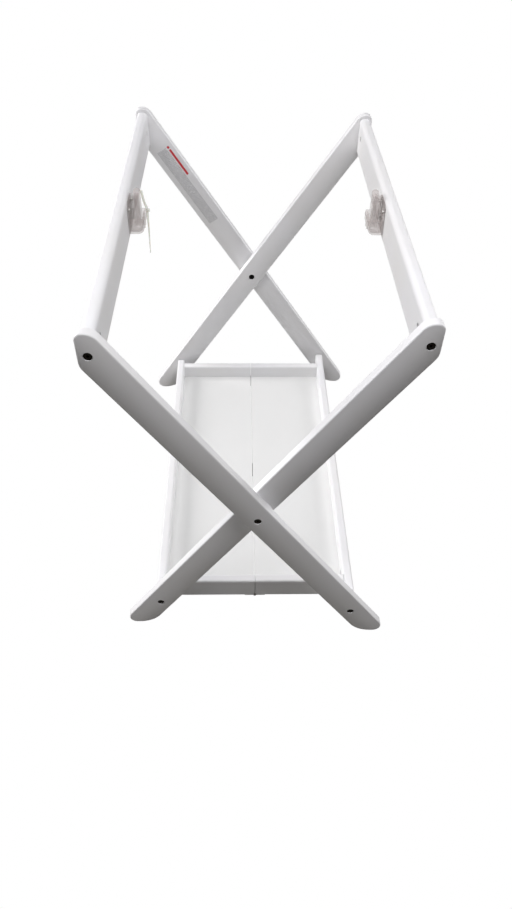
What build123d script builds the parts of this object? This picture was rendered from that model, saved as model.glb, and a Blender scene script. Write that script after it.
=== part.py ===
"""Folding X-frame stand for a baby's basket, with a two-part folding tray.

Millimetres, +Z up. The origin is on the floor at the centre of the stand. The legs cross in
planes parallel to XZ, and the rails and every bolt's axis run along Y.
"""
from build123d import *
from math import sin, cos, radians
import os

# ---- driving dimensions: frame ----
FRAME_DEPTH = 795.0
LEG_ANGLE = 34.0
LEG_WIDTH = 51.0
LEG_THICK = 16.0
LEG_GAP = 7.5
CROSS_HEIGHT = 338.5
TOP_ARM = 406.5
BOTTOM_ARM = 325.0
BOLT_OFFSET = 3.2
LEG_TOP = 711.5
LEG_TOP_REACH = 242.3
FOOT_REACH = 247.5
EDGE_ROUND = 2.5
SPACER_R = 25.0
SPACER_SLACK = 0.2

# ---- driving dimensions: top rails ----
RAIL_THICK = 20.0
RAIL_HEIGHT = 66.5
RAIL_TOP = 704.5
RAIL_INNER_ROUND = 9.0
RAIL_OUTER_ROUND = 6.0
RAIL_LOWER_ROUND = 3.0
RAIL_NUT_INSET = 31.0
DOWEL_DROP = 24.0

# ---- driving dimensions: tray ----
TRAY_RAIL_THICK = 18.0
TRAY_TOP_ROUND = 5.0
TRAY_LOWER_ROUND = 2.0
END_RAIL_ROUND = 4.0
TRAY_TOP = 92.5
TRAY_BOTTOM = 48.5
TRAY_END_FACE = 344.0
TRAY_SPLIT = 0.6
TRAY_NUT_Y = 307.0
PIVOT_SPACE = 2.0
FLOOR_TOP = 60.5
FLOOR_THICK = 6.0
GROOVE_DEPTH = 5.0
GROOVE_FIT = 0.1
SPLIT_CORNER = 6.5
BATTEN_START = 0.6
BATTEN_WIDTH = 20.0

# ---- driving dimensions: hardware ----
BOLT_R = 3.0
HEAD_R = 6.0
HEAD_HEIGHT = 5.0
COUNTERBORE_R = 6.7
COUNTERBORE_DEPTH = 6.0
SOCKET_FLATS = 4.0
SOCKET_DEPTH = 3.0
BARREL_R = 5.0
BARREL_LENGTH = 13.0
BARREL_RECESS = 3.0
SLEEVE_R = 4.0
WASHER_R = 8.0
DOWEL_R = 4.0
DOWEL_LENGTH = 30.0
DOWEL_IN_LEG = 9.0
RUNNING_FIT = 0.08
FIXED_FIT = 0.05

# ---- driving dimensions: hinges, hooks and tie ----
HINGE_LENGTH = 36.0
HINGE_LEAF = 20.0
HINGE_SHEET = 1.5
KNUCKLE_R = 3.0
PIN_R = 1.5
KNUCKLE_GAP = 0.2
KNUCKLE_ROOM = 0.8
HINGE_SCREW_R = 1.5
HINGE_SCREW_HEAD_R = 3.0
HINGE_SCREW_X = 14.0
HINGE_SCREW_SPREAD = 11.0
HOOK_WALL = 2.5
HOOK_DEPTH = 26.5
HOOK_FRONT = -12.5
HOOK_BACK = 30.5
HOOK_BOTTOM = 645.0
HOOK_LIP_TOP = 671.0
HOOK_CORNER = 12.0
PLATE_BACK = 42.5
PLATE_TOP = 696.5
PLATE_CORNER = 12.0
PRONG_NEAR = 7.5
PRONG_FAR = 19.5
PRONG_FRONT = 7.5
PRONG_TOP = 707.0
PRONG_CROWN = 5.8
SLIT_LENGTH = 11.0
SLIT_HEIGHT = 1.0
SLIT_Z = 651.0
HOOK_RIB_TOP = 660.0
LOBE_R = 3.2
HOOK_SCREW_R = 1.8
HOOK_SCREW_HEAD_R = 3.4
HOOK_SCREW_LENGTH = 11.0
HOOK_SCREW_HEAD_HEIGHT = 2.0
HOOK_SCREW_YS = (-5.0, 36.5)
HOOK_SCREW_Z = 684.0
TIE_Y = 26.0
TIE_WIDTH = 4.0
TIE_TIP_WIDTH = 1.4
TIE_THICK = 1.2
TIE_HEAD = 4.0
TIE_HEAD_REACH = 7.0
TIE_HEAD_DEPTH = 5.0
TIE_TIP_Z = 588.0

# ---- derived places ----
SIN, COS = sin(radians(LEG_ANGLE)), cos(radians(LEG_ANGLE))
TOP_X, TOP_Z = TOP_ARM * SIN, CROSS_HEIGHT + TOP_ARM * COS
PIVOT_X, PIVOT_Z = BOTTOM_ARM * SIN, CROSS_HEIGHT - BOTTOM_ARM * COS
OUTER_FACE = FRAME_DEPTH / 2
OUTER_INSIDE = OUTER_FACE - LEG_THICK
INNER_FACE = OUTER_INSIDE - LEG_GAP
INNER_INSIDE = INNER_FACE - LEG_THICK
BARREL_HOLE = BARREL_LENGTH + BARREL_RECESS + 0.5
HOOK_FACE = -TOP_X + RAIL_THICK / 2
SIDE_IN = PIVOT_X - TRAY_RAIL_THICK / 2
SIDE_OUT = PIVOT_X + TRAY_RAIL_THICK / 2
END_IN = TRAY_END_FACE - TRAY_RAIL_THICK
FLOOR_BOTTOM = FLOOR_TOP - FLOOR_THICK
HINGE_Z = TRAY_BOTTOM - HINGE_SHEET
HINGE_YS = (-(TRAY_END_FACE - HINGE_LENGTH / 2), 0.0, TRAY_END_FACE - HINGE_LENGTH / 2)
ENDS = (-1, 1)


def rod_y(x, z, y_from, y_to, radius):
    """A round bar along Y between two stations."""
    length = abs(y_to - y_from)
    return Pos(x, (y_from + y_to) / 2, z) * Rot(90, 0, 0) * Cylinder(radius, length)


def rod_x(y, z, x_from, x_to, radius):
    """A round bar along X between two stations."""
    length = abs(x_to - x_from)
    return Pos((x_from + x_to) / 2, y, z) * Rot(0, 90, 0) * Cylinder(radius, length)


def block(x0, x1, y0, y1, z0, z1):
    """A square block between two corners."""
    size = Box(abs(x1 - x0), abs(y1 - y0), abs(z1 - z0))
    return Pos((x0 + x1) / 2, (y0 + y1) / 2, (z0 + z1) / 2) * size


def group(*solids):
    """Like pieces kept as separate solids of one node."""
    return Compound(children=[s for item in solids for s in item.solids()])


def flip(shape):
    """The mirror image across the stand's centre plane, x = 0."""
    return mirror(shape, about=Plane.YZ)


# ---- legs ----
def edge_x(z, offset):
    """Where a leg's long edge, at a distance from the bolt line, crosses a height."""
    return (offset - (z - CROSS_HEIGHT) * SIN) / COS


def edge_z(x, offset):
    """The height of that long edge at a distance from the centre plane."""
    return CROSS_HEIGHT + (offset - x * COS) / SIN


def leg_outline():
    """The leg's face: a leaning board cut plumb and level, with broad roundings at both ends."""
    upper = BOLT_OFFSET + LEG_WIDTH / 2
    lower = BOLT_OFFSET - LEG_WIDTH / 2
    corners = [
        (edge_x(LEG_TOP, upper), LEG_TOP, 22.0),
        (-LEG_TOP_REACH, LEG_TOP, 11.5),
        (-LEG_TOP_REACH, edge_z(-LEG_TOP_REACH, lower), 25.0),
        (edge_x(0.0, lower), 0.0, 50.0),
        (FOOT_REACH, 0.0, 15.0),
        (FOOT_REACH, edge_z(FOOT_REACH, upper), 25.0),
    ]
    points = [(x, z) for x, z, _ in corners]
    outline = FilletPolyline(*points, radius=[r for _, _, r in corners], close=True)
    return make_face(Plane.XZ * outline)


def leg_board():
    """A rounded board from top left to bottom right, centred on y = 0."""
    board = extrude(leg_outline(), LEG_THICK / 2, both=True)
    faces = board.faces().sort_by(Axis.Y)
    return fillet(faces[0].edges() + faces[-1].edges(), EDGE_ROUND)


def bolt_hole(x, z, end, outside, inside, shank_r):
    """A through hole with its counterbore in the leg's outside face."""
    hole = rod_y(x, z, end * (inside - 1), end * (outside + 1), shank_r)
    bore = rod_y(x, z, end * (outside - COUNTERBORE_DEPTH), end * (outside + 1), COUNTERBORE_R)
    return hole + bore


def dowel_hole(x, end, inside):
    """The blind hole for a rail dowel in the leg's inside face."""
    deep = inside + DOWEL_IN_LEG + FIXED_FIT
    return rod_y(x, TOP_Z - DOWEL_DROP, end * (inside - 1), end * deep, DOWEL_R + FIXED_FIT)


def outer_leg(end):
    """Outer leg: rail bolt at the top left, crossing pivot, tray pivot at the bottom right."""
    leg = Pos(0, end * (OUTER_FACE + OUTER_INSIDE) / 2, 0) * leg_board()
    leg -= bolt_hole(-TOP_X, TOP_Z, end, OUTER_FACE, OUTER_INSIDE, BOLT_R + FIXED_FIT)
    leg -= bolt_hole(0, CROSS_HEIGHT, end, OUTER_FACE, OUTER_INSIDE, BOLT_R + FIXED_FIT)
    leg -= bolt_hole(PIVOT_X, PIVOT_Z, end, OUTER_FACE, OUTER_INSIDE, BOLT_R + RUNNING_FIT)
    return leg - dowel_hole(-TOP_X, end, OUTER_INSIDE)


def inner_leg(end):
    """Inner leg: the mirror board, with the crossing's sleeve nut let into its inside face."""
    leg = Pos(0, end * (INNER_FACE + INNER_INSIDE) / 2, 0) * flip(leg_board())
    leg -= bolt_hole(TOP_X, TOP_Z, end, INNER_FACE, INNER_INSIDE, BOLT_R + FIXED_FIT)
    leg -= bolt_hole(-PIVOT_X, PIVOT_Z, end, INNER_FACE, INNER_INSIDE, BOLT_R + FIXED_FIT)
    sleeve = SLEEVE_R + RUNNING_FIT
    leg -= rod_y(0, CROSS_HEIGHT, end * (INNER_INSIDE - 1), end * (INNER_FACE + 1), sleeve)
    floor = end * (INNER_INSIDE + COUNTERBORE_DEPTH)
    leg -= rod_y(0, CROSS_HEIGHT, end * (INNER_INSIDE - 1), floor, COUNTERBORE_R)
    return leg - dowel_hole(TOP_X, end, INNER_INSIDE)


# ---- top rails, modelled on the left and flipped to the right ----
def top_rail(half_length, nut_y):
    """Upright board with a rounded top, drilled for a bolt, a barrel nut and a dowel each end."""
    x0, x1 = -TOP_X - RAIL_THICK / 2, -TOP_X + RAIL_THICK / 2
    rail = block(x0, x1, -half_length, half_length, RAIL_TOP - RAIL_HEIGHT, RAIL_TOP)
    long_edges = rail.edges().filter_by(Axis.Y).group_by(Axis.Z)
    rail = fillet(long_edges[-1].sort_by(Axis.X)[0], RAIL_OUTER_ROUND)
    inner_edge = rail.edges().filter_by(Axis.Y).group_by(Axis.X)[-1].sort_by(Axis.Z)[-1]
    rail = fillet(inner_edge, RAIL_INNER_ROUND)
    rail = fillet(rail.edges().filter_by(Axis.Y).group_by(Axis.Z)[0], RAIL_LOWER_ROUND)
    for end in ENDS:
        bolt_end = end * (nut_y - BARREL_R - 4)
        rail -= rod_y(-TOP_X, TOP_Z, bolt_end, end * (half_length + 1), BOLT_R + FIXED_FIT)
        nut_hole = BARREL_R + FIXED_FIT
        rail -= rod_x(end * nut_y, TOP_Z, x1 - BARREL_HOLE, x1 + 1, nut_hole)
        deep = end * (half_length - DOWEL_LENGTH + DOWEL_IN_LEG - FIXED_FIT)
        dowel_z = TOP_Z - DOWEL_DROP
        rail -= rod_y(-TOP_X, dowel_z, deep, end * (half_length + 1), DOWEL_R + FIXED_FIT)
    for y in HOOK_SCREW_YS:
        rail -= rod_x(y, HOOK_SCREW_Z, x1 - HOOK_SCREW_LENGTH, x1 + 1, HOOK_SCREW_R + FIXED_FIT)
    return rail


def rail_dowels(half_length):
    """Two wooden dowels that stop the rail turning on its bolts."""
    z = TOP_Z - DOWEL_DROP
    inner = half_length - DOWEL_LENGTH + DOWEL_IN_LEG
    outer = half_length + DOWEL_IN_LEG
    return group(*[rod_y(-TOP_X, z, e * inner, e * outer, DOWEL_R) for e in ENDS])


# ---- bolts and nuts ----
def socket_bolt(x, z, end, face, tip):
    """Socket-head bolt let into a face, with its head outwards and its tip inwards."""
    seat = face - COUNTERBORE_DEPTH
    crown = seat + HEAD_HEIGHT
    bolt = rod_y(x, z, end * tip, end * seat, BOLT_R)
    bolt += rod_y(x, z, end * seat, end * crown, HEAD_R)
    socket = extrude(RegularPolygon(SOCKET_FLATS / 2, 6, major_radius=False), SOCKET_DEPTH)
    turn = Rot(90, 0, 0) if end > 0 else Rot(-90, 0, 0)
    return bolt - Pos(x, end * crown, z) * turn * socket


def barrel_nut(x_centre, thick, y, z):
    """Cross dowel pushed in from the inside face, tapped across for its bolt."""
    outer = x_centre + thick / 2 - BARREL_RECESS
    nut = rod_x(y, z, outer - BARREL_LENGTH, outer, BARREL_R)
    return nut - rod_y(x_centre, z, y - 2 * BARREL_R, y + 2 * BARREL_R, BOLT_R + FIXED_FIT)


def barrel_nuts(x_centre, thick, nut_y, z):
    """The pair of barrel nuts of one rail on the left side."""
    return group(*[barrel_nut(x_centre, thick, e * nut_y, z) for e in ENDS])


def sleeve_nut(end):
    """Flanged sleeve nut that the crossing bolt screws into and the inner leg turns on."""
    seat = INNER_INSIDE + COUNTERBORE_DEPTH
    crown = seat - HEAD_HEIGHT
    nut = rod_y(0, CROSS_HEIGHT, end * seat, end * INNER_FACE, SLEEVE_R)
    nut += rod_y(0, CROSS_HEIGHT, end * crown, end * seat, HEAD_R)
    return nut - rod_y(0, CROSS_HEIGHT, end * (crown - 1), end * (INNER_FACE + 1), BOLT_R + FIXED_FIT)


def crossing_spacer(end):
    """Wooden disc fixed to the outer leg that holds the crossing legs apart."""
    inner = end * (INNER_FACE + SPACER_SLACK)
    disc = rod_y(0, CROSS_HEIGHT, inner, end * OUTER_INSIDE, SPACER_R)
    return disc - rod_y(0, CROSS_HEIGHT, inner, end * OUTER_INSIDE, BOLT_R + FIXED_FIT)


def washer(x, z, y_from, y_to, hole_r):
    """Flat nylon washer that keeps two turning faces apart."""
    return rod_y(x, z, y_from, y_to, WASHER_R) - rod_y(x, z, y_from, y_to, hole_r)


# ---- tray, modelled on the right and flipped to the left ----
def tray_side_rail(half_length):
    """Side rail, grooved for the floor and drilled for the pivot bolts and their nuts."""
    rail = block(SIDE_IN, SIDE_OUT, -half_length, half_length, TRAY_BOTTOM, TRAY_TOP)
    rail = fillet(rail.edges().filter_by(Axis.Y).group_by(Axis.Z)[-1], TRAY_TOP_ROUND)
    rail = fillet(rail.edges().filter_by(Axis.Y).group_by(Axis.Z)[0], TRAY_LOWER_ROUND)
    groove = END_IN + GROOVE_DEPTH
    rail -= block(SIDE_IN - 1, SIDE_IN + GROOVE_DEPTH, -groove, groove, FLOOR_BOTTOM, FLOOR_TOP)
    for end in ENDS:
        tip = end * (TRAY_NUT_Y - BARREL_R - 4)
        rail -= rod_y(PIVOT_X, PIVOT_Z, tip, end * (half_length + 1), BOLT_R + FIXED_FIT)
        deep = SIDE_IN + BARREL_HOLE
        rail -= rod_x(end * TRAY_NUT_Y, PIVOT_Z, SIDE_IN - 1, deep, BARREL_R + FIXED_FIT)
    return rail


def tray_end_rail(end):
    """End rail from the split to the side rail, with a rounded lower corner at the split."""
    y0, y1 = end * END_IN, end * TRAY_END_FACE
    rail = block(TRAY_SPLIT, SIDE_IN, y0, y1, TRAY_BOTTOM, TRAY_TOP)
    corner = rail.edges().filter_by(Axis.Y).group_by(Axis.X)[0].sort_by(Axis.Z)[0]
    rail = fillet(corner, SPLIT_CORNER)
    rail = fillet(rail.edges().filter_by(Axis.X).group_by(Axis.Z)[-1], END_RAIL_ROUND)
    groove = end * (END_IN + GROOVE_DEPTH)
    rail -= block(TRAY_SPLIT - 1, SIDE_IN, end * (END_IN - 1), groove, FLOOR_BOTTOM, FLOOR_TOP)
    return rail - hinge_screw_holes()


def tray_floor():
    """Thin panel held in the grooves of its three rails."""
    x1 = SIDE_IN + GROOVE_DEPTH - GROOVE_FIT
    y1 = END_IN + GROOVE_DEPTH - GROOVE_FIT
    return block(TRAY_SPLIT, x1, -y1, y1, FLOOR_BOTTOM + GROOVE_FIT, FLOOR_TOP - GROOVE_FIT)


def tray_batten():
    """Flat strip glued under the floor's free edge, which carries the hinges."""
    x1 = BATTEN_START + BATTEN_WIDTH
    batten = block(BATTEN_START, x1, -END_IN, END_IN, TRAY_BOTTOM, FLOOR_BOTTOM + GROOVE_FIT)
    for y in HINGE_YS:
        half = HINGE_LENGTH / 2 + KNUCKLE_ROOM
        batten -= rod_y(0, HINGE_Z, y - half, y + half, KNUCKLE_R + KNUCKLE_ROOM)
    return batten - hinge_screw_holes()


# ---- hinges ----
def hinge_screw_places():
    """Two screws in each leaf."""
    return [(HINGE_SCREW_X, y + side * HINGE_SCREW_SPREAD) for y in HINGE_YS for side in ENDS]


def hinge_screw_holes():
    """The holes of every hinge screw, through the leaf and into the wood above it."""
    depth = FLOOR_BOTTOM - HINGE_Z + 1
    hole = Cylinder(HINGE_SCREW_R + FIXED_FIT, depth)
    middle = HINGE_Z - 1 + FIXED_FIT + depth / 2
    return group(*[Pos(x, y, middle) * hole for x, y in hinge_screw_places()])


def hinge_leaf(y, knuckles):
    """Sheet leaf under the tray, rolled round the pin over the given spans."""
    y0, y1 = y - HINGE_LENGTH / 2, y + HINGE_LENGTH / 2
    leaf = block(KNUCKLE_R + 0.4, HINGE_LEAF, y0, y1, HINGE_Z, TRAY_BOTTOM)
    for a, b in knuckles:
        leaf += block(0, KNUCKLE_R + 1, y0 + a, y0 + b, HINGE_Z, TRAY_BOTTOM)
        leaf += rod_y(0, HINGE_Z, y0 + a, y0 + b, KNUCKLE_R)
    leaf -= rod_y(0, HINGE_Z, y0 - 1, y1 + 1, PIN_R + RUNNING_FIT)
    return leaf - hinge_screw_holes()


def hinge_leaves(knuckles):
    """The leaves on one side of the split."""
    return group(*[hinge_leaf(y, knuckles) for y in HINGE_YS])


def hinge_pins():
    """One pin through each hinge."""
    half = HINGE_LENGTH / 2
    return group(*[rod_y(0, HINGE_Z, y - half, y + half, PIN_R) for y in HINGE_YS])


def hinge_screw(x, y, length):
    """Low round-head screw through a leaf."""
    head = Pos(x, y, HINGE_Z - 0.5) * Cylinder(HINGE_SCREW_HEAD_R, 1.0)
    shank = Pos(x, y, HINGE_Z + length / 2) * Cylinder(HINGE_SCREW_R, length)
    return head + shank


# ---- hooks and tie, modelled on the left and flipped to the right ----
def hook_block(near, far, y0, y1, z0, z1):
    """A block placed by its distances inwards from the rail's inside face."""
    return block(HOOK_FACE + near, HOOK_FACE + far, y0, y1, z0, z1)


def hook_trough():
    """The hook's lower part: a short tray with closed ends and a rounded inboard corner."""
    outside = hook_block(0, HOOK_DEPTH, HOOK_FRONT, HOOK_BACK, HOOK_BOTTOM, HOOK_LIP_TOP)
    low_edge = outside.edges().filter_by(Axis.Y).group_by(Axis.Z)[0].sort_by(Axis.X)[-1]
    outside = fillet(low_edge, HOOK_CORNER)
    inside = hook_block(HOOK_WALL, HOOK_DEPTH - HOOK_WALL, HOOK_FRONT + HOOK_WALL,
                        HOOK_BACK - HOOK_WALL, HOOK_BOTTOM + HOOK_WALL, HOOK_LIP_TOP + 1)
    low_edge = inside.edges().filter_by(Axis.Y).group_by(Axis.Z)[0].sort_by(Axis.X)[-1]
    return outside - fillet(low_edge, HOOK_CORNER - HOOK_WALL)


def hook_prong():
    """The upright finger that keeps a rim or strap against the rail; hollow, open below."""
    prong = hook_block(PRONG_NEAR, PRONG_FAR, PRONG_FRONT, HOOK_BACK, HOOK_BOTTOM, PRONG_TOP)
    return fillet(prong.edges().filter_by(Axis.Y).group_by(Axis.Z)[-1], PRONG_CROWN)


def hook_cells():
    """The two cells inside the prong, with a rib between them."""
    middle = (PRONG_FRONT + HOOK_BACK) / 2
    spans = [(PRONG_FRONT + HOOK_WALL, middle - HOOK_WALL / 2),
             (middle + HOOK_WALL / 2, HOOK_BACK - HOOK_WALL)]
    near, far = PRONG_NEAR + HOOK_WALL, PRONG_FAR - HOOK_WALL
    top = PRONG_TOP - 3 * HOOK_WALL
    return group(*[hook_block(near, far, a, b, HOOK_BOTTOM - 1, top) for a, b in spans])


def hook():
    """Clear moulded hook: plate on the rail, trough, prong, two ribs and a small lobe."""
    plate = hook_block(0, HOOK_WALL, HOOK_FRONT, PLATE_BACK, HOOK_BOTTOM, PLATE_TOP)
    body = fillet(plate.edges().filter_by(Axis.X).group_by(Axis.Z)[-1], PLATE_CORNER)
    body += hook_trough()
    body += hook_prong()
    for y in (PRONG_FRONT, (PRONG_FRONT + HOOK_BACK) / 2 - HOOK_WALL / 2):
        body += hook_block(PRONG_FAR - 1, HOOK_DEPTH - 1, y, y + HOOK_WALL,
                           HOOK_BOTTOM + 1, HOOK_RIB_TOP)
    lobe_x, lobe_z = HOOK_FACE + HOOK_DEPTH - HOOK_WALL / 2, HOOK_LIP_TOP - LOBE_R
    body += rod_y(lobe_x, lobe_z, TIE_Y - 10, TIE_Y - 3, LOBE_R)
    body -= hook_cells()
    body -= hook_block(HOOK_WALL, HOOK_WALL + SLIT_LENGTH, HOOK_FRONT - 1, HOOK_FRONT + HOOK_WALL + 1,
                       SLIT_Z - SLIT_HEIGHT / 2, SLIT_Z + SLIT_HEIGHT / 2)
    for y in HOOK_SCREW_YS:
        body -= rod_x(y, HOOK_SCREW_Z, HOOK_FACE - 1, HOOK_FACE + HOOK_WALL + 1,
                      HOOK_SCREW_R + FIXED_FIT)
    return body


def hook_screws():
    """Two round-head screws per hook, one on each side of the prong."""
    screws = []
    for y in HOOK_SCREW_YS:
        seat = HOOK_FACE + HOOK_WALL
        shank = rod_x(y, HOOK_SCREW_Z, HOOK_FACE - HOOK_SCREW_LENGTH + 1, seat, HOOK_SCREW_R)
        screws.append(shank + rod_x(y, HOOK_SCREW_Z, seat, seat + HOOK_SCREW_HEAD_HEIGHT, HOOK_SCREW_HEAD_R))
    return group(*screws)


def hook_tie():
    """White nylon tie on the left hook: a flat strap off the prong, a head at the lip, a tail."""
    wall = HOOK_FACE + HOOK_DEPTH + 0.2
    prong = HOOK_FACE + PRONG_FAR + 0.2
    top, bend = PRONG_TOP - 2.0, HOOK_LIP_TOP + 0.4
    side = Polyline((prong, top), (prong + TIE_WIDTH, top - 1), (wall + TIE_WIDTH, bend),
                    (wall + TIE_TIP_WIDTH, TIE_TIP_Z), (wall, TIE_TIP_Z), (wall, bend), close=True)
    strap = extrude(make_face(Plane.XZ.offset(-TIE_Y) * side), TIE_THICK / 2, both=True)
    head = block(wall, wall + TIE_HEAD_REACH, TIE_Y - TIE_HEAD_DEPTH / 2, TIE_Y + TIE_HEAD_DEPTH / 2,
                 bend - TIE_HEAD, bend)
    return strap + head


# ---- the whole stand ----
def frame_nodes():
    """Legs, top rails and the fasteners that join them."""
    left_nut = OUTER_INSIDE - RAIL_NUT_INSET
    right_nut = INNER_INSIDE - RAIL_NUT_INSET
    left_tip, right_tip = left_nut - BARREL_R - 2, right_nut - BARREL_R - 2
    outer_bolts = [socket_bolt(-TOP_X, TOP_Z, e, OUTER_FACE, left_tip) for e in ENDS]
    inner_bolts = [socket_bolt(TOP_X, TOP_Z, e, INNER_FACE, right_tip) for e in ENDS]
    cross_tip = INNER_INSIDE + COUNTERBORE_DEPTH
    cross_bolts = [socket_bolt(0, CROSS_HEIGHT, e, OUTER_FACE, cross_tip) for e in ENDS]
    spacers = [crossing_spacer(e) for e in ENDS]
    return {
        "outer_leg_front": outer_leg(-1),
        "outer_leg_back": outer_leg(1),
        "inner_leg_front": inner_leg(-1),
        "inner_leg_back": inner_leg(1),
        "top_rail_left": top_rail(OUTER_INSIDE, left_nut),
        "top_rail_right": flip(top_rail(INNER_INSIDE, right_nut)),
        "rail_bolts_left": group(*outer_bolts),
        "rail_bolts_right": group(*inner_bolts),
        "rail_barrel_nuts_left": barrel_nuts(-TOP_X, RAIL_THICK, left_nut, TOP_Z),
        "rail_barrel_nuts_right": flip(barrel_nuts(-TOP_X, RAIL_THICK, right_nut, TOP_Z)),
        "rail_dowels_left": rail_dowels(OUTER_INSIDE),
        "rail_dowels_right": flip(rail_dowels(INNER_INSIDE)),
        "crossing_bolts": group(*cross_bolts),
        "crossing_sleeve_nuts": group(*[sleeve_nut(e) for e in ENDS]),
        "crossing_spacers": group(*spacers),
    }


def tray_nodes():
    """The two tray halves and the bolts that carry them."""
    right_end, left_end = OUTER_INSIDE - PIVOT_SPACE, INNER_INSIDE - PIVOT_SPACE
    tip = TRAY_NUT_Y - BARREL_R - 2
    right_bolts = [socket_bolt(PIVOT_X, PIVOT_Z, e, OUTER_FACE, tip) for e in ENDS]
    left_bolts = [socket_bolt(-PIVOT_X, PIVOT_Z, e, INNER_FACE, INNER_INSIDE) for e in ENDS]
    right_washers = [washer(PIVOT_X, PIVOT_Z, e * right_end, e * (OUTER_INSIDE - 0.2),
                            BOLT_R + FIXED_FIT) for e in ENDS]
    left_washers = [washer(-PIVOT_X, PIVOT_Z, e * (left_end + 0.2), e * INNER_INSIDE,
                           BOLT_R + FIXED_FIT) for e in ENDS]
    left_nuts = barrel_nuts(-PIVOT_X, TRAY_RAIL_THICK, TRAY_NUT_Y, PIVOT_Z)
    return {
        "tray_side_rail_right": tray_side_rail(right_end),
        "tray_side_rail_left": flip(tray_side_rail(left_end)),
        "tray_end_rail_front_right": tray_end_rail(-1),
        "tray_end_rail_front_left": flip(tray_end_rail(-1)),
        "tray_end_rail_back_right": tray_end_rail(1),
        "tray_end_rail_back_left": flip(tray_end_rail(1)),
        "tray_floor_right": tray_floor(),
        "tray_floor_left": flip(tray_floor()),
        "tray_batten_right": tray_batten(),
        "tray_batten_left": flip(tray_batten()),
        "tray_bolts_right": group(*right_bolts),
        "tray_bolts_left": group(*left_bolts),
        "tray_barrel_nuts_right": flip(left_nuts),
        "tray_barrel_nuts_left": left_nuts,
        "tray_washers_right": group(*right_washers),
        "tray_washers_left": group(*left_washers),
    }


def hinge_nodes():
    """The three hinges under the split: two knuckles on the right leaf and one on the left."""
    third = HINGE_LENGTH / 3
    outer = [(0, third - KNUCKLE_GAP), (2 * third + KNUCKLE_GAP, HINGE_LENGTH)]
    middle = [(third + KNUCKLE_GAP, 2 * third - KNUCKLE_GAP)]
    length = FLOOR_BOTTOM - HINGE_Z
    screws = group(*[hinge_screw(x, y, length) for x, y in hinge_screw_places()])
    return {
        "hinge_leaves_right": hinge_leaves(outer),
        "hinge_leaves_left": flip(hinge_leaves(middle)),
        "hinge_pins": hinge_pins(),
        "hinge_screws_right": screws,
        "hinge_screws_left": flip(screws),
    }


def hook_nodes():
    """The basket hooks at the middle of the top rails."""
    return {
        "clear_hook_left": hook(),
        "clear_hook_right": flip(hook()),
        "hook_screws_left": hook_screws(),
        "hook_screws_right": flip(hook_screws()),
        "hook_tie": hook_tie(),
    }


os.makedirs("parts", exist_ok=True)
nodes = {**frame_nodes(), **tray_nodes(), **hinge_nodes(), **hook_nodes()}
for name, shape in nodes.items():
    export_step(shape, f"parts/{name}.step")
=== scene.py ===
import bpy
import bmesh
from math import radians, sin, cos, pi
from mathutils import Matrix, Vector


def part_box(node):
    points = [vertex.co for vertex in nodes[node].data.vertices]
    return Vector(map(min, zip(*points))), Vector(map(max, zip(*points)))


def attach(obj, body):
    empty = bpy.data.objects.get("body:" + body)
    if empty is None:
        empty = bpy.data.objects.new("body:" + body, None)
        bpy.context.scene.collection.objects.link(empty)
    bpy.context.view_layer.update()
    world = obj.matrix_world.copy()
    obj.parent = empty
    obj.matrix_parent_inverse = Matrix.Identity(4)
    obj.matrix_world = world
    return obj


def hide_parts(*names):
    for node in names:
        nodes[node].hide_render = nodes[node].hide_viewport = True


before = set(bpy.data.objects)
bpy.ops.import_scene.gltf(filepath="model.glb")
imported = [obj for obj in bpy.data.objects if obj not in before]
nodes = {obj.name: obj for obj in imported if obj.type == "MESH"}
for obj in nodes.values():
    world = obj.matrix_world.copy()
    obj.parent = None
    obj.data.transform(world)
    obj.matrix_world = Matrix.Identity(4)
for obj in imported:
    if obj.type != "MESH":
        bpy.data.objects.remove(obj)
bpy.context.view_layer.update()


# ---- Camera ----
# It looks down on the stand from in front and above, a little turned and tilted as a hand-held one.
EYE = Vector((-0.030, -1.1465, 1.2461))
PITCH, YAW, ROLL = radians(45.055), radians(-1.887), radians(1.224)
FOCAL_PX, LONG_SIDE_PX, SENSOR = 713.0, 909.0, 36.0

camera = bpy.data.objects.new("camera", bpy.data.cameras.new("camera"))
bpy.context.scene.collection.objects.link(camera)
camera.data.sensor_width = SENSOR
camera.data.lens = FOCAL_PX / LONG_SIDE_PX * SENSOR
camera.data.clip_end = 50
turn = Matrix.Rotation(YAW, 4, "Z") @ Matrix.Rotation(pi / 2 - PITCH, 4, "X") @ Matrix.Rotation(ROLL, 4, "Z")
camera.matrix_world = Matrix.Translation(EYE) @ turn
bpy.context.scene.camera = camera


# ---- Painted wood: the four legs, the top rails and the tray's rails ----
# Planed boards of light hardwood, primed and sprayed satin white. The grain shows faintly through
# the paint, and the paint film itself has a fine orange peel.
WHITE_PAINT = (0.83, 0.83, 0.845, 1)
WARM_PAINT = (0.80, 0.795, 0.79, 1)


def new_group(name, inputs, outputs):
    """An empty shader node group with named sockets, and its input and output nodes."""
    group = bpy.data.node_groups.new(name, "ShaderNodeTree")
    for socket_name, kind, default in inputs:
        socket = group.interface.new_socket(name=socket_name, in_out="INPUT", socket_type=kind)
        if default is not None:
            socket.default_value = default
    for socket_name, kind in outputs:
        group.interface.new_socket(name=socket_name, in_out="OUTPUT", socket_type=kind)
    return group, group.nodes.new("NodeGroupInput"), group.nodes.new("NodeGroupOutput")


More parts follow.
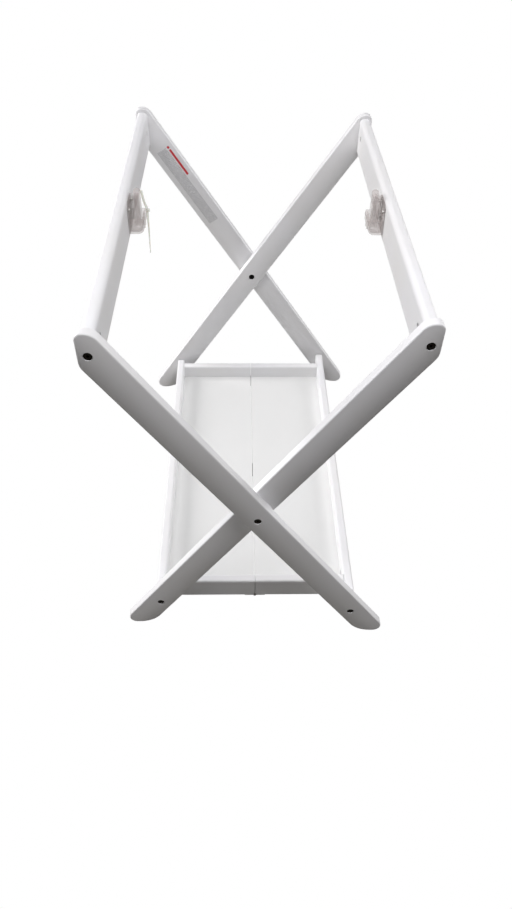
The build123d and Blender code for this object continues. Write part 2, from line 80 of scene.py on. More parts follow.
def sprayed_paint_group():
    """Paint over wood: x of the vector runs along the grain."""
    group, start, end = new_group(
        "sprayed_paint",
        [("Vector", "NodeSocketVector", None), ("Colour", "NodeSocketColor", WHITE_PAINT),
         ("Shade", "NodeSocketColor", WARM_PAINT), ("Grain", "NodeSocketFloat", 1.0)],
        [("Colour", "NodeSocketColor"), ("Roughness", "NodeSocketFloat"), ("Height", "NodeSocketFloat")])
    link = group.links.new
    stretch = group.nodes.new("ShaderNodeMapping")
    stretch.inputs["Scale"].default_value = (6, 240, 240)
    link(start.outputs["Vector"], stretch.inputs["Vector"])
    grain = group.nodes.new("ShaderNodeTexNoise")
    grain.inputs["Scale"].default_value = 1.0
    grain.inputs["Detail"].default_value = 5
    grain.inputs["Distortion"].default_value = 0.6
    link(stretch.outputs["Vector"], grain.inputs["Vector"])
    peel = group.nodes.new("ShaderNodeTexNoise")
    peel.inputs["Scale"].default_value = 620
    peel.inputs["Detail"].default_value = 2
    link(start.outputs["Vector"], peel.inputs["Vector"])
    cloud = group.nodes.new("ShaderNodeTexNoise")
    cloud.inputs["Scale"].default_value = 7
    cloud.inputs["Detail"].default_value = 4
    link(start.outputs["Vector"], cloud.inputs["Vector"])
    patch = group.nodes.new("ShaderNodeMapRange")
    patch.inputs["From Min"].default_value = 0.35
    patch.inputs["From Max"].default_value = 0.75
    link(cloud.outputs["Fac"], patch.inputs["Value"])
    tint = group.nodes.new("ShaderNodeMix")
    tint.data_type = "RGBA"
    link(patch.outputs["Result"], tint.inputs["Factor"])
    link(start.outputs["Colour"], tint.inputs["A"])
    link(start.outputs["Shade"], tint.inputs["B"])
    link(tint.outputs["Result"], end.inputs["Colour"])
    gloss = group.nodes.new("ShaderNodeMapRange")
    gloss.inputs["To Min"].default_value = 0.36
    gloss.inputs["To Max"].default_value = 0.52
    link(cloud.outputs["Fac"], gloss.inputs["Value"])
    link(gloss.outputs["Result"], end.inputs["Roughness"])
    ridges = group.nodes.new("ShaderNodeMath")
    ridges.operation = "MULTIPLY"
    link(grain.outputs["Fac"], ridges.inputs[0])
    link(start.outputs["Grain"], ridges.inputs[1])
    height = group.nodes.new("ShaderNodeMath")
    height.operation = "MULTIPLY_ADD"
    height.inputs[1].default_value = 0.35
    link(peel.outputs["Fac"], height.inputs[0])
    link(ridges.outputs["Value"], height.inputs[2])
    link(height.outputs["Value"], end.inputs["Height"])
    return group


SPRAYED_PAINT = sprayed_paint_group()


def new_material(name):
    """A node material with its Principled shader and its texture coordinates."""
    material = bpy.data.materials.new(name)
    material.use_nodes = True
    tree = material.node_tree
    return material, tree, tree.nodes["Principled BSDF"], tree.nodes.new("ShaderNodeTexCoord")


def paint_material(name, turned, grain):
    """White paint whose grain direction is turned from x by three angles, and its bump node."""
    material, tree, shader, place = new_material(name)
    mapping = tree.nodes.new("ShaderNodeMapping")
    mapping.inputs["Rotation"].default_value = turned
    tree.links.new(place.outputs["Object"], mapping.inputs["Vector"])
    paint = tree.nodes.new("ShaderNodeGroup")
    paint.node_tree = SPRAYED_PAINT
    paint.inputs["Grain"].default_value = grain
    tree.links.new(mapping.outputs["Vector"], paint.inputs["Vector"])
    bump = tree.nodes.new("ShaderNodeBump")
    bump.inputs["Strength"].default_value = 0.12
    bump.inputs["Distance"].default_value = 0.0004
    tree.links.new(paint.outputs["Colour"], shader.inputs["Base Color"])
    tree.links.new(paint.outputs["Roughness"], shader.inputs["Roughness"])
    tree.links.new(paint.outputs["Height"], bump.inputs["Height"])
    tree.links.new(bump.outputs["Normal"], shader.inputs["Normal"])
    return material, tree, place, bump


def paint_node(name, material):
    """Gives a CAD node its finish."""
    nodes[name].data.materials.clear()
    nodes[name].data.materials.append(material)


LEG_LEAN = radians(34)
CROSS_HEIGHT, BOARD_OFFSET, HALF_BOARD, CROWN = 0.3385, 0.0032, 0.0255, 0.0040


def leg_paint(name, side):
    """Leg paint: the board's broad faces are sanded to a slight crown across their width."""
    turned = (0, -side * (pi / 2 - LEG_LEAN), 0)
    material, tree, place, bump = paint_material(name, turned, 1.0)
    centre = BOARD_OFFSET + CROSS_HEIGHT * sin(LEG_LEAN)
    across = tree.nodes.new("ShaderNodeVectorMath")
    across.operation = "DOT_PRODUCT"
    across.inputs[1].default_value = (side * cos(LEG_LEAN), 0, sin(LEG_LEAN))
    tree.links.new(place.outputs["Object"], across.inputs[0])
    unit = tree.nodes.new("ShaderNodeMath")
    unit.operation = "MULTIPLY_ADD"
    unit.inputs[1].default_value = 1 / HALF_BOARD
    unit.inputs[2].default_value = -centre / HALF_BOARD
    tree.links.new(across.outputs["Value"], unit.inputs[0])
    square = tree.nodes.new("ShaderNodeMath")
    square.operation = "MULTIPLY"
    tree.links.new(unit.outputs["Value"], square.inputs[0])
    tree.links.new(unit.outputs["Value"], square.inputs[1])
    crown = tree.nodes.new("ShaderNodeBump")
    crown.invert = True
    crown.inputs["Strength"].default_value = 1.0
    crown.inputs["Distance"].default_value = CROWN
    tree.links.new(square.outputs["Value"], crown.inputs["Height"])
    tree.links.new(crown.outputs["Normal"], bump.inputs["Normal"])
    return material


outer_leg_paint = leg_paint("outer_leg_paint", 1)
inner_leg_paint = leg_paint("inner_leg_paint", -1)
rail_paint = paint_material("rail_paint", (0, 0, radians(90)), 1.0)[0]
end_rail_paint = paint_material("end_rail_paint", (0, 0, 0), 1.0)[0]
for end in ("front", "back"):
    paint_node(f"outer_leg_{end}", outer_leg_paint)
    paint_node(f"inner_leg_{end}", inner_leg_paint)
    for side in ("left", "right"):
        paint_node(f"tray_end_rail_{end}_{side}", end_rail_paint)
for side in ("left", "right"):
    paint_node(f"top_rail_{side}", rail_paint)
    paint_node(f"tray_side_rail_{side}", rail_paint)


# ---- Spacer discs ----
# Turned wooden discs glued to the outer legs at the crossings, painted with the legs. The turning
# marks run round each disc's centre.
def turned_material(name, colour, rough, rings_scale, depth):
    """Finish of a piece turned on a lathe round the crossing bolt's line."""
    material, tree, shader, place = new_material(name)
    centred = tree.nodes.new("ShaderNodeMapping")
    centred.inputs["Location"].default_value = (0, 0, -CROSS_HEIGHT)
    tree.links.new(place.outputs["Object"], centred.inputs["Vector"])
    rings = tree.nodes.new("ShaderNodeTexWave")
    rings.wave_type = "RINGS"
    rings.rings_direction = "Y"
    rings.inputs["Scale"].default_value = rings_scale
    rings.inputs["Distortion"].default_value = 0.4
    tree.links.new(centred.outputs["Vector"], rings.inputs["Vector"])
    spots = tree.nodes.new("ShaderNodeTexNoise")
    spots.inputs["Scale"].default_value = 90
    tree.links.new(centred.outputs["Vector"], spots.inputs["Vector"])
    tone = tree.nodes.new("ShaderNodeMix")
    tone.data_type = "RGBA"
    tone.inputs["A"].default_value = colour
    tone.inputs["B"].default_value = tuple(0.93 * c for c in colour[:3]) + (1,)
    tree.links.new(spots.outputs["Fac"], tone.inputs["Factor"])
    tree.links.new(tone.outputs["Result"], shader.inputs["Base Color"])
    shader.inputs["Roughness"].default_value = rough
    bump = tree.nodes.new("ShaderNodeBump")
    bump.inputs["Strength"].default_value = 0.3
    bump.inputs["Distance"].default_value = depth
    tree.links.new(rings.outputs["Fac"], bump.inputs["Height"])
    tree.links.new(bump.outputs["Normal"], shader.inputs["Normal"])
    return material


paint_node("crossing_spacers", turned_material("spacer_paint", WHITE_PAINT, 0.45, 260, 0.0003))


# ---- Tray floor and battens ----
# Two thin panels, filled and rolled with the same white, which leaves a slightly mottled skin. The
# battens glued under their free edges are planed strips with a thinner coat.
def panel_material(name, colour, shade, nap, depth):
    """Rolled paint: a fine even stipple and very faint clouds of thinner coat."""
    material, tree, shader, place = new_material(name)
    stipple = tree.nodes.new("ShaderNodeTexNoise")
    stipple.inputs["Scale"].default_value = nap
    stipple.inputs["Detail"].default_value = 3
    tree.links.new(place.outputs["Object"], stipple.inputs["Vector"])
    clouds = tree.nodes.new("ShaderNodeTexNoise")
    clouds.inputs["Scale"].default_value = 9
    clouds.inputs["Detail"].default_value = 5
    tree.links.new(place.outputs["Object"], clouds.inputs["Vector"])
    tone = tree.nodes.new("ShaderNodeMix")
    tone.data_type = "RGBA"
    tone.inputs["A"].default_value = colour
    tone.inputs["B"].default_value = shade
    tree.links.new(clouds.outputs["Fac"], tone.inputs["Factor"])
    tree.links.new(tone.outputs["Result"], shader.inputs["Base Color"])
    gloss = tree.nodes.new("ShaderNodeMapRange")
    gloss.inputs["To Min"].default_value = 0.42
    gloss.inputs["To Max"].default_value = 0.62
    tree.links.new(clouds.outputs["Fac"], gloss.inputs["Value"])
    tree.links.new(gloss.outputs["Result"], shader.inputs["Roughness"])
    bump = tree.nodes.new("ShaderNodeBump")
    bump.inputs["Strength"].default_value = 0.25
    bump.inputs["Distance"].default_value = depth
    tree.links.new(stipple.outputs["Fac"], bump.inputs["Height"])
    tree.links.new(bump.outputs["Normal"], shader.inputs["Normal"])
    return material


floor_panel = panel_material("floor_panel_paint", (0.80, 0.80, 0.79, 1), (0.76, 0.765, 0.755, 1), 700, 0.0003)
batten_paint = panel_material("batten_paint", (0.76, 0.75, 0.73, 1), (0.70, 0.69, 0.66, 1), 400, 0.0004)
for side in ("left", "right"):
    paint_node(f"tray_floor_{side}", floor_panel)
    paint_node(f"tray_batten_{side}", batten_paint)


# ---- Rail dowels ----
# Fluted beech pins pushed dry into the legs and the rail ends. Bare wood, grain along the pin.
def beech_material():
    """Pale bare beech with short darker flecks along y."""
    material, tree, shader, place = new_material("bare_beech")
    stretch = tree.nodes.new("ShaderNodeMapping")
    stretch.inputs["Scale"].default_value = (900, 60, 900)
    tree.links.new(place.outputs["Object"], stretch.inputs["Vector"])
    flecks = tree.nodes.new("ShaderNodeTexNoise")
    flecks.inputs["Scale"].default_value = 1
    flecks.inputs["Detail"].default_value = 4
    tree.links.new(stretch.outputs["Vector"], flecks.inputs["Vector"])
    ramp = tree.nodes.new("ShaderNodeValToRGB")
    ramp.color_ramp.elements[0].position = 0.35
    ramp.color_ramp.elements[0].color = (0.36, 0.20, 0.09, 1)
    ramp.color_ramp.elements[1].position = 0.62
    ramp.color_ramp.elements[1].color = (0.58, 0.38, 0.20, 1)
    tree.links.new(flecks.outputs["Fac"], ramp.inputs["Fac"])
    tree.links.new(ramp.outputs["Color"], shader.inputs["Base Color"])
    shader.inputs["Roughness"].default_value = 0.7
    bump = tree.nodes.new("ShaderNodeBump")
    bump.inputs["Strength"].default_value = 0.4
    bump.inputs["Distance"].default_value = 0.0003
    tree.links.new(flecks.outputs["Fac"], bump.inputs["Height"])
    tree.links.new(bump.outputs["Normal"], shader.inputs["Normal"])
    return material


beech = beech_material()
for side in ("left", "right"):
    paint_node(f"rail_dowels_{side}", beech)


# ---- Bolts, barrel nuts and sleeve nuts ----
# Steel socket screws and cross dowels with a dark bronze plating, slightly rubbed on their edges
# where the key and the screwdriver slip.
def rubbed_metal_group():
    """Plating that is rubbed bright in small patches, with fine scratches."""
    group, start, end = new_group(
        "rubbed_metal",
        [("Vector", "NodeSocketVector", None), ("Plating", "NodeSocketColor", (0.03, 0.026, 0.022, 1)),
         ("Rubbed", "NodeSocketColor", (0.12, 0.10, 0.08, 1)), ("Wear", "NodeSocketFloat", 0.6),
         ("Dull", "NodeSocketFloat", 0.45)],
        [("Colour", "NodeSocketColor"), ("Roughness", "NodeSocketFloat"), ("Height", "NodeSocketFloat")])
    link = group.links.new
    patches = group.nodes.new("ShaderNodeTexNoise")
    patches.inputs["Scale"].default_value = 420
    patches.inputs["Detail"].default_value = 5
    link(start.outputs["Vector"], patches.inputs["Vector"])
    mask = group.nodes.new("ShaderNodeMapRange")
    mask.inputs["From Max"].default_value = 0.8
    link(patches.outputs["Fac"], mask.inputs["Value"])
    link(start.outputs["Wear"], mask.inputs["From Min"])
    tone = group.nodes.new("ShaderNodeMix")
    tone.data_type = "RGBA"
    link(mask.outputs["Result"], tone.inputs["Factor"])
    link(start.outputs["Plating"], tone.inputs["A"])
    link(start.outputs["Rubbed"], tone.inputs["B"])
    link(tone.outputs["Result"], end.inputs["Colour"])
    gloss = group.nodes.new("ShaderNodeMath")
    gloss.operation = "MULTIPLY_ADD"
    gloss.inputs[1].default_value = -0.18
    link(mask.outputs["Result"], gloss.inputs[0])
    link(start.outputs["Dull"], gloss.inputs[2])
    link(gloss.outputs["Value"], end.inputs["Roughness"])
    link(patches.outputs["Fac"], end.inputs["Height"])
    return group


RUBBED_METAL = rubbed_metal_group()


def metal_material(name, plating, rubbed, wear, dull):
    """Plated steel whose plating is rubbed in patches."""
    material, tree, shader, place = new_material(name)
    metal = tree.nodes.new("ShaderNodeGroup")
    metal.node_tree = RUBBED_METAL
    metal.inputs["Plating"].default_value = plating
    metal.inputs["Rubbed"].default_value = rubbed
    metal.inputs["Wear"].default_value = wear
    metal.inputs["Dull"].default_value = dull
    tree.links.new(place.outputs["Object"], metal.inputs["Vector"])
    tree.links.new(metal.outputs["Colour"], shader.inputs["Base Color"])
    tree.links.new(metal.outputs["Roughness"], shader.inputs["Roughness"])
    shader.inputs["Metallic"].default_value = 1.0
    bump = tree.nodes.new("ShaderNodeBump")
    bump.inputs["Strength"].default_value = 0.2
    bump.inputs["Distance"].default_value = 0.0001
    tree.links.new(metal.outputs["Height"], bump.inputs["Height"])
    tree.links.new(bump.outputs["Normal"], shader.inputs["Normal"])
    return material


bolt_bronze = metal_material("bolt_bronze", (0.03, 0.026, 0.022, 1), (0.12, 0.10, 0.08, 1), 0.6, 0.45)
nut_bronze = metal_material("nut_bronze", (0.022, 0.02, 0.018, 1), (0.09, 0.08, 0.07, 1), 0.62, 0.55)
for side in ("left", "right"):
    paint_node(f"rail_bolts_{side}", bolt_bronze)
    paint_node(f"tray_bolts_{side}", bolt_bronze)
    paint_node(f"rail_barrel_nuts_{side}", nut_bronze)
    paint_node(f"tray_barrel_nuts_{side}", nut_bronze)
paint_node("crossing_bolts", bolt_bronze)
paint_node("crossing_sleeve_nuts", nut_bronze)


# ---- Tray hinges and all wood screws ----
# Butt hinges rolled from zinc-plated sheet, with a drawn steel pin, and small plated round-head
# screws for the hinges and the hooks.
hinge_zinc = metal_material("hinge_zinc", (0.50, 0.50, 0.49, 1), (0.68, 0.68, 0.66, 1), 0.5, 0.42)
pin_steel = metal_material("pin_steel", (0.40, 0.39, 0.38, 1), (0.62, 0.61, 0.60, 1), 0.55, 0.30)
screw_zinc = metal_material("screw_zinc", (0.56, 0.56, 0.54, 1), (0.75, 0.74, 0.72, 1), 0.55, 0.34)
paint_node("hinge_pins", pin_steel)
for side in ("left", "right"):
    paint_node(f"hinge_leaves_{side}", hinge_zinc)
    paint_node(f"hinge_screws_{side}", screw_zinc)
    paint_node(f"hook_screws_{side}", screw_zinc)


# ---- Tray washers ----
# Punched nylon washers between the legs and the tray, natural white and a little scuffed.
nylon_washer = panel_material("washer_nylon", (0.72, 0.72, 0.69, 1), (0.62, 0.62, 0.58, 1), 900, 0.0001)
for side in ("left", "right"):
    paint_node(f"tray_washers_{side}", nylon_washer)


# ---- Clear hooks ----
# One-piece moulded clear hooks, screwed to the rails' inside faces. The moulding is slightly
# smoky, with flow lines, and its many walls seen through one another make it look greyish pink.
WALL_ALPHA, RIM_ALPHA = 0.22, 0.60


def clear_material():
    """Smoky clear plastic with faint flow lines and handling haze."""
    material, tree, shader, place = new_material("smoky_clear_plastic")
    flow = tree.nodes.new("ShaderNodeMapping")
    flow.inputs["Scale"].default_value = (220, 220, 40)
    tree.links.new(place.outputs["Object"], flow.inputs["Vector"])
    lines = tree.nodes.new("ShaderNodeTexNoise")
    lines.inputs["Scale"].default_value = 1
    lines.inputs["Detail"].default_value = 3
    lines.inputs["Distortion"].default_value = 0.8
    tree.links.new(flow.outputs["Vector"], lines.inputs["Vector"])
    tone = tree.nodes.new("ShaderNodeMix")
    tone.data_type = "RGBA"
    tone.inputs["A"].default_value = (0.78, 0.71, 0.69, 1)
    tone.inputs["B"].default_value = (0.60, 0.53, 0.51, 1)
    tree.links.new(lines.outputs["Fac"], tone.inputs["Factor"])
    tree.links.new(tone.outputs["Result"], shader.inputs["Base Color"])
    haze = tree.nodes.new("ShaderNodeMapRange")
    haze.inputs["To Min"].default_value = 0.08
    haze.inputs["To Max"].default_value = 0.34
    tree.links.new(lines.outputs["Fac"], haze.inputs["Value"])
    tree.links.new(haze.outputs["Result"], shader.inputs["Roughness"])
    bump = tree.nodes.new("ShaderNodeBump")
    bump.inputs["Strength"].default_value = 0.25
    bump.inputs["Distance"].default_value = 0.0004
    tree.links.new(lines.outputs["Fac"], bump.inputs["Height"])
    tree.links.new(bump.outputs["Normal"], shader.inputs["Normal"])
    shader.inputs["IOR"].default_value = 1.49
    shader.inputs["Coat Weight"].default_value = 0.6
    shader.inputs["Coat Roughness"].default_value = 0.08
    rim = tree.nodes.new("ShaderNodeLayerWeight")
    rim.inputs["Blend"].default_value = 0.35
    body = tree.nodes.new("ShaderNodeMapRange")
    body.inputs["To Min"].default_value = WALL_ALPHA
    body.inputs["To Max"].default_value = RIM_ALPHA
    tree.links.new(rim.outputs["Facing"], body.inputs["Value"])
    tree.links.new(body.outputs["Result"], shader.inputs["Alpha"])
    return material


clear_plastic = clear_material()
for side in ("left", "right"):
    paint_node(f"clear_hook_{side}", clear_plastic)


# ---- Tie on the left hook ----
# A thin moulded nylon tie, threaded round the hook's prong. Its strap runs down to a small ribbed
# head at the lip, and the tail hangs from it, tapering to a point.
TIE_HALF_WIDTH, TIE_HALF_TIP, TIE_THICK = 0.0020, 0.0007, 0.0011
TIE_STATIONS = 40
HEAD_SIZE, HEAD_ROUND, HEAD_DROP = (0.0068, 0.0049, 0.0039), 0.0007, 0.0356
tie_low, tie_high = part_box("hook_tie")
TIE_Y = (tie_low[1] + tie_high[1]) / 2
tie_wall, tie_top, tie_end = tie_high[0] - 0.0070, tie_high[2], tie_low[2]
TIE_LINE = [(tie_low[0] + 0.0020, tie_top), (tie_low[0] + 0.0034, tie_top - 0.011),
            (tie_low[0] + 0.0056, tie_top - 0.022),
            (tie_wall + 0.0020, tie_top - 0.033), (tie_wall + 0.0021, tie_top - 0.044),
            (tie_wall + 0.0020, tie_top - 0.062), (tie_wall + 0.0016, tie_top - 0.080),
            (tie_wall + 0.0011, tie_top - 0.099), (tie_wall + 0.0007, tie_end)]


def tie_station(along):
    """Place and slope of the tie at a fraction of its height, by a smooth run between points."""
    spot = along * (len(TIE_LINE) - 1)
    i = min(int(spot), len(TIE_LINE) - 2)
    t = spot - i
    before, here = Vector(TIE_LINE[max(i - 1, 0)]), Vector(TIE_LINE[i])
    there, after = Vector(TIE_LINE[i + 1]), Vector(TIE_LINE[min(i + 2, len(TIE_LINE) - 1)])
    pull, push = (there - before) / 2, (after - here) / 2
    place = ((2 * t**3 - 3 * t**2 + 1) * here + (t**3 - 2 * t**2 + t) * pull
             + (3 * t**2 - 2 * t**3) * there + (t**3 - t**2) * push)
    slope = ((6 * t**2 - 6 * t) * here + (3 * t**2 - 4 * t + 1) * pull
             + (6 * t - 6 * t**2) * there + (3 * t**2 - 2 * t) * push)
    return place, slope.normalized()


def tie_mesh():
    """One section is drawn on along the tie's line, and a small head is added at the lip."""
    shape = bmesh.new()
    bmesh.ops.create_grid(shape, x_segments=1, y_segments=1, size=1)
    ring = list(shape.verts)
    corners = [(round(v.co.x), round(v.co.y)) for v in ring]

    def place_ring(verts, along):
        spot, slope = tie_station(along)
        width = TIE_HALF_WIDTH + (TIE_HALF_TIP - TIE_HALF_WIDTH) * max(0, (along - 0.4) / 0.6)
        side = Vector((-slope.y, slope.x))
        for vert, (a, b) in zip(verts, corners):
            off = spot + side * (a * width)
            vert.co = (off.x, TIE_Y + b * TIE_THICK / 2, off.y)

    place_ring(ring, 0)
    face = shape.faces[:][0]
    for step in range(1, TIE_STATIONS + 1):
        made = bmesh.ops.extrude_face_region(shape, geom=[face])["geom"]
        fresh = [v for v in made if isinstance(v, bmesh.types.BMVert)]
        next_face = [f for f in made if isinstance(f, bmesh.types.BMFace)][0]
        moved = []
        for vert in ring:
            link = [e.other_vert(vert) for e in vert.link_edges if e.other_vert(vert) in fresh]
            moved.append(link[0])
        if step > 1:
            bmesh.ops.delete(shape, geom=[face], context="FACES_ONLY")
        ring, face = moved, next_face
        place_ring(ring, step / TIE_STATIONS)
    head = bmesh.ops.create_cube(shape, size=1)["verts"]
    bmesh.ops.scale(shape, vec=HEAD_SIZE, verts=head)
    bmesh.ops.translate(shape, vec=(tie_wall + HEAD_SIZE[0] / 2, TIE_Y, tie_top - HEAD_DROP), verts=head)
    head_edges = list({e for v in head for e in v.link_edges})
    bmesh.ops.bevel(shape, geom=head_edges, offset=HEAD_ROUND, segments=3, profile=0.5,
                    affect="EDGES", material=-1)
    bmesh.ops.recalc_face_normals(shape, faces=shape.faces)
    mesh = bpy.data.meshes.new("nylon_tie")
    shape.to_mesh(mesh)
    shape.free()
    return mesh


def tie_material():
    """Natural nylon, faintly greenish, with the fine ladder of teeth across the strap."""
    material, tree, shader, place = new_material("tie_nylon")
    teeth = tree.nodes.new("ShaderNodeTexWave")
    teeth.bands_direction = "Z"
    teeth.inputs["Scale"].default_value = 130
    tree.links.new(place.outputs["Object"], teeth.inputs["Vector"])
    milky = tree.nodes.new("ShaderNodeTexNoise")
    milky.inputs["Scale"].default_value = 160
    tree.links.new(place.outputs["Object"], milky.inputs["Vector"])
    tone = tree.nodes.new("ShaderNodeMix")
    tone.data_type = "RGBA"
    tone.inputs["A"].default_value = (0.88, 0.89, 0.78, 1)
    tone.inputs["B"].default_value = (0.80, 0.81, 0.69, 1)
    tree.links.new(milky.outputs["Fac"], tone.inputs["Factor"])
    tree.links.new(tone.outputs["Result"], shader.inputs["Base Color"])
    shader.inputs["Roughness"].default_value = 0.4
    shader.inputs["Alpha"].default_value = 0.45
    shader.inputs["Subsurface Weight"].default_value = 0.2
    shader.inputs["Subsurface Scale"].default_value = 0.001
    bump = tree.nodes.new("ShaderNodeBump")
    bump.inputs["Strength"].default_value = 0.4
    bump.inputs["Distance"].default_value = 0.0003
    tree.links.new(teeth.outputs["Fac"], bump.inputs["Height"])
    tree.links.new(bump.outputs["Normal"], shader.inputs["Normal"])
    return material


tie = bpy.data.objects.new("nylon_tie", tie_mesh())
bpy.context.scene.collection.objects.link(tie)
tie.data.materials.append(tie_material())
for polygon in tie.data.polygons:
    polygon.use_smooth = True
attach(tie, "outer_frame")
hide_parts("hook_tie")


# ---- Generic notice on the back outer leg ----
# A thin clear film, stuck to the front-facing side of the back outer leg. It carries no lettering:
# a red bar with a small mark before it, and rows of fine grey rules.
FILM_LENGTH, FILM_WIDTH, FILM_THICK = 0.205, 0.036, 0.00016
FILM_ALONG, FILM_ACROSS, FILM_CORNER = 0.252, -0.0005, 0.003
FIRST_RULE, RULE_INK = 0.0085, 0.00034
RULE_SPAN, BAR_SPAN, MARK_SPAN = (0.006, FILM_LENGTH - 0.008), (0.014, 0.078), (0.006, 0.011)
BAR_BAND, MARK_BAND = (0.0016, 0.0062), (0.0018, 0.0064)
RULES, RULE_SPACE, RULE_COVER = 9, 0.0025, 0.7


def film_mesh():
    """A round-cornered strip laid on the leg's face, in line with the leg."""
    shape = bmesh.new()
    bmesh.ops.create_cube(shape, size=1)
    bmesh.ops.scale(shape, vec=(FILM_LENGTH, FILM_THICK, FILM_WIDTH), verts=shape.verts)
    upright = [e for e in shape.edges if abs(e.verts[0].co.y - e.verts[1].co.y) > FILM_THICK / 2]
    bmesh.ops.bevel(shape, geom=upright, offset=FILM_CORNER, segments=4, profile=0.5,
                    affect="EDGES", material=-1)
    layer = shape.loops.layers.uv.new("print")
    for face in shape.faces:
        for loop in face.loops:
            loop[layer].uv = (loop.vert.co.x + FILM_LENGTH / 2, FILM_WIDTH / 2 - loop.vert.co.z)
    turn = Matrix.Rotation(pi / 2 - LEG_LEAN, 4, "Y")
    bmesh.ops.transform(shape, matrix=turn, verts=shape.verts)
    back_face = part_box("outer_leg_back")[0][1]
    across = BOARD_OFFSET + FILM_ACROSS
    where = (-FILM_ALONG * sin(LEG_LEAN) + across * cos(LEG_LEAN), back_face - FILM_THICK / 2,
             CROSS_HEIGHT + FILM_ALONG * cos(LEG_LEAN) + across * sin(LEG_LEAN))
    bmesh.ops.translate(shape, vec=where, verts=shape.verts)
    mesh = bpy.data.meshes.new("notice_film")
    shape.to_mesh(mesh)
    shape.free()
    return mesh


def band(tree, value, low, high):
    """1 where a value lies between two limits."""
    above = tree.nodes.new("ShaderNodeMath")
    above.operation = "GREATER_THAN"
    above.inputs[1].default_value = low
    tree.links.new(value, above.inputs[0])
    below = tree.nodes.new("ShaderNodeMath")
    below.operation = "LESS_THAN"
    below.inputs[1].default_value = high
    tree.links.new(value, below.inputs[0])
    return product(tree, above.outputs["Value"], below.outputs["Value"])


def product(tree, a, b):
    """The product of two values."""
    both = tree.nodes.new("ShaderNodeMath")
    both.operation = "MULTIPLY"
    tree.links.new(a, both.inputs[0])
    tree.links.new(b, both.inputs[1])
    return both.outputs["Value"]


def film_material():
    """Clear film with a red bar and rows of broken grey rules, placed by the film's own map."""
    material, tree, shader, place = new_material("notice_print")
    axes = tree.nodes.new("ShaderNodeSeparateXYZ")
    tree.links.new(place.outputs["UV"], axes.inputs["Vector"])
    u, v = axes.outputs["X"], axes.outputs["Y"]
    row = tree.nodes.new("ShaderNodeMath")
    row.operation = "PINGPONG"
    row.inputs[1].default_value = RULE_SPACE / 2
    tree.links.new(v, row.inputs[0])
    fine = band(tree, row.outputs["Value"], 0.0, RULE_INK)
    dashes = tree.nodes.new("ShaderNodeTexNoise")
    dashes.inputs["Scale"].default_value = 1
    dashes.inputs["Detail"].default_value = 0
    stretch = tree.nodes.new("ShaderNodeMapping")
    stretch.inputs["Scale"].default_value = (260, 400, 1)
    tree.links.new(place.outputs["UV"], stretch.inputs["Vector"])
    tree.links.new(stretch.outputs["Vector"], dashes.inputs["Vector"])
    inked = band(tree, dashes.outputs["Fac"], 0.40, 1.0)
    rows = product(tree, fine, inked)
    rows = product(tree, rows, band(tree, v, FIRST_RULE, FIRST_RULE + RULES * RULE_SPACE))
    rows = product(tree, rows, band(tree, u, *RULE_SPAN))
    bar = product(tree, band(tree, v, *BAR_BAND), band(tree, u, *BAR_SPAN))
    mark = product(tree, band(tree, v, *MARK_BAND), band(tree, u, *MARK_SPAN))
    red = tree.nodes.new("ShaderNodeMath")
    red.operation = "MAXIMUM"
    tree.links.new(bar, red.inputs[0])
    tree.links.new(mark, red.inputs[1])
    ink = tree.nodes.new("ShaderNodeMix")
    ink.data_type = "RGBA"
    ink.inputs["A"].default_value = (0.16, 0.16, 0.18, 1)
    ink.inputs["B"].default_value = (0.66, 0.05, 0.06, 1)
    tree.links.new(red.outputs["Value"], ink.inputs["Factor"])
    cover = tree.nodes.new("ShaderNodeMath")
    cover.operation = "MAXIMUM"
    faint = tree.nodes.new("ShaderNodeMath")
    faint.operation = "MULTIPLY"
    faint.inputs[1].default_value = RULE_COVER
    tree.links.new(rows, faint.inputs[0])
    tree.links.new(faint.outputs["Value"], cover.inputs[0])
    tree.links.new(red.outputs["Value"], cover.inputs[1])
    tree.links.new(cover.outputs["Value"], shader.inputs["Alpha"])
    tree.links.new(ink.outputs["Result"], shader.inputs["Base Color"])
    gloss = tree.nodes.new("ShaderNodeMapRange")
    gloss.inputs["To Min"].default_value = 0.38
    gloss.inputs["To Max"].default_value = 0.55
    tree.links.new(rows, gloss.inputs["Value"])
    tree.links.new(gloss.outputs["Result"], shader.inputs["Roughness"])
    return material


film = bpy.data.objects.new("notice_film", film_mesh())
bpy.context.scene.collection.objects.link(film)
film.data.materials.append(film_material())
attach(film, "outer_frame")


# ---- Studio: pale floor, white surroundings and soft lights ----
# Soft panels stand left and right and hang above the front and back. Nothing lights the stand from
# in front, so the faces turned that way are dim and darken towards their lower edges.
FLOOR_SIZE = 12.0
floor_mesh = bpy.data.meshes.new("floor")
shape = bmesh.new()
bmesh.ops.create_grid(shape, x_segments=1, y_segments=1, size=FLOOR_SIZE)
shape.to_mesh(floor_mesh)
shape.free()
floor = bpy.data.objects.new("floor", floor_mesh)
bpy.context.scene.collection.objects.link(floor)


def backdrop_shader(tree, seen, lit):
    """White where the camera looks at it, and dimmer as a source of bounced light."""
    path = tree.nodes.new("ShaderNodeLightPath")
    mix = tree.nodes.new("ShaderNodeMixShader")
    tree.links.new(path.outputs["Is Camera Ray"], mix.inputs["Fac"])
    tree.links.new(lit, mix.inputs[1])
    tree.links.new(seen, mix.inputs[2])
    return mix.outputs["Shader"]


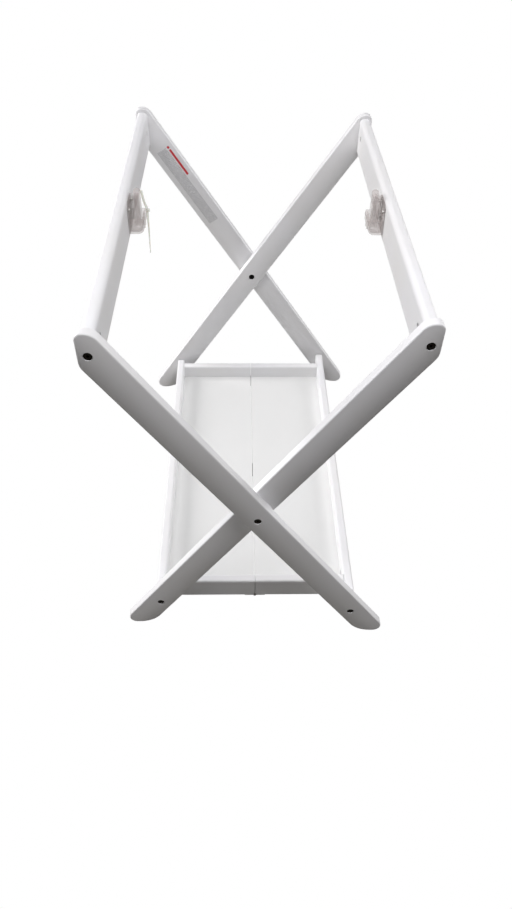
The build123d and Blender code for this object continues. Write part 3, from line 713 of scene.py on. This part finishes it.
def studio_floor():
    material = bpy.data.materials.new("studio_floor")
    material.use_nodes = True
    tree = material.node_tree
    tree.nodes.clear()
    seen = tree.nodes.new("ShaderNodeEmission")
    seen.inputs["Color"].default_value = (1, 1, 1, 1)
    lit = tree.nodes.new("ShaderNodeBsdfDiffuse")
    lit.inputs["Color"].default_value = (0.28, 0.27, 0.25, 1)
    out = tree.nodes.new("ShaderNodeOutputMaterial")
    mixed = backdrop_shader(tree, seen.outputs[0], lit.outputs[0])
    tree.links.new(mixed, out.inputs["Surface"])
    return material


floor_mesh.materials.append(studio_floor())

world = bpy.data.worlds.new("studio")
world.use_nodes = True
bpy.context.scene.world = world
sky = world.node_tree
sky.nodes.clear()
white = sky.nodes.new("ShaderNodeBackground")
white.inputs["Color"].default_value = (1, 1, 1, 1)
dim = sky.nodes.new("ShaderNodeBackground")
dim.inputs["Color"].default_value = (1.0, 0.98, 0.95, 1)
dim.inputs["Strength"].default_value = 0.02
sky_out = sky.nodes.new("ShaderNodeOutputWorld")
sky.links.new(backdrop_shader(sky, white.outputs[0], dim.outputs[0]), sky_out.inputs["Surface"])


def soft_light(name, place, aim, width, depth, power, colour):
    """A rectangular soft light that points at a place."""
    lamp = bpy.data.lights.new(name, "AREA")
    lamp.shape = "RECTANGLE"
    lamp.size, lamp.size_y = width, depth
    lamp.energy = power
    lamp.color = colour
    holder = bpy.data.objects.new(name, lamp)
    bpy.context.scene.collection.objects.link(holder)
    direction = Vector(aim) - Vector(place)
    holder.matrix_world = Matrix.Translation(place) @ direction.to_track_quat("-Z", "Y").to_matrix().to_4x4()
    return holder


soft_light("overhead", (0, 0.2, 2.2), (0, 0.2, 0), 1.6, 1.0, 1, (1, 1, 1))
soft_light("overhead_back", (0, 1.1, 2.0), (0, 0.4, 0.3), 1.6, 0.8, 6.7, (0.98, 0.98, 1.0))
soft_light("overhead_front", (0, -0.9, 2.2), (0, -0.2, 0.2), 2.0, 0.7, 27.3, (0.99, 0.98, 1.0))
soft_light("left_panel", (-2.2, 0.5, 1.1), (0, 0.2, 0.4), 1.4, 1.4, 59.1, (1.0, 0.99, 1.0))
soft_light("right_panel", (2.2, 0.5, 1.1), (0, 0.2, 0.4), 1.4, 1.4, 31.4, (0.99, 0.99, 1.0))
bpy.context.scene.view_settings.view_transform = "Standard"
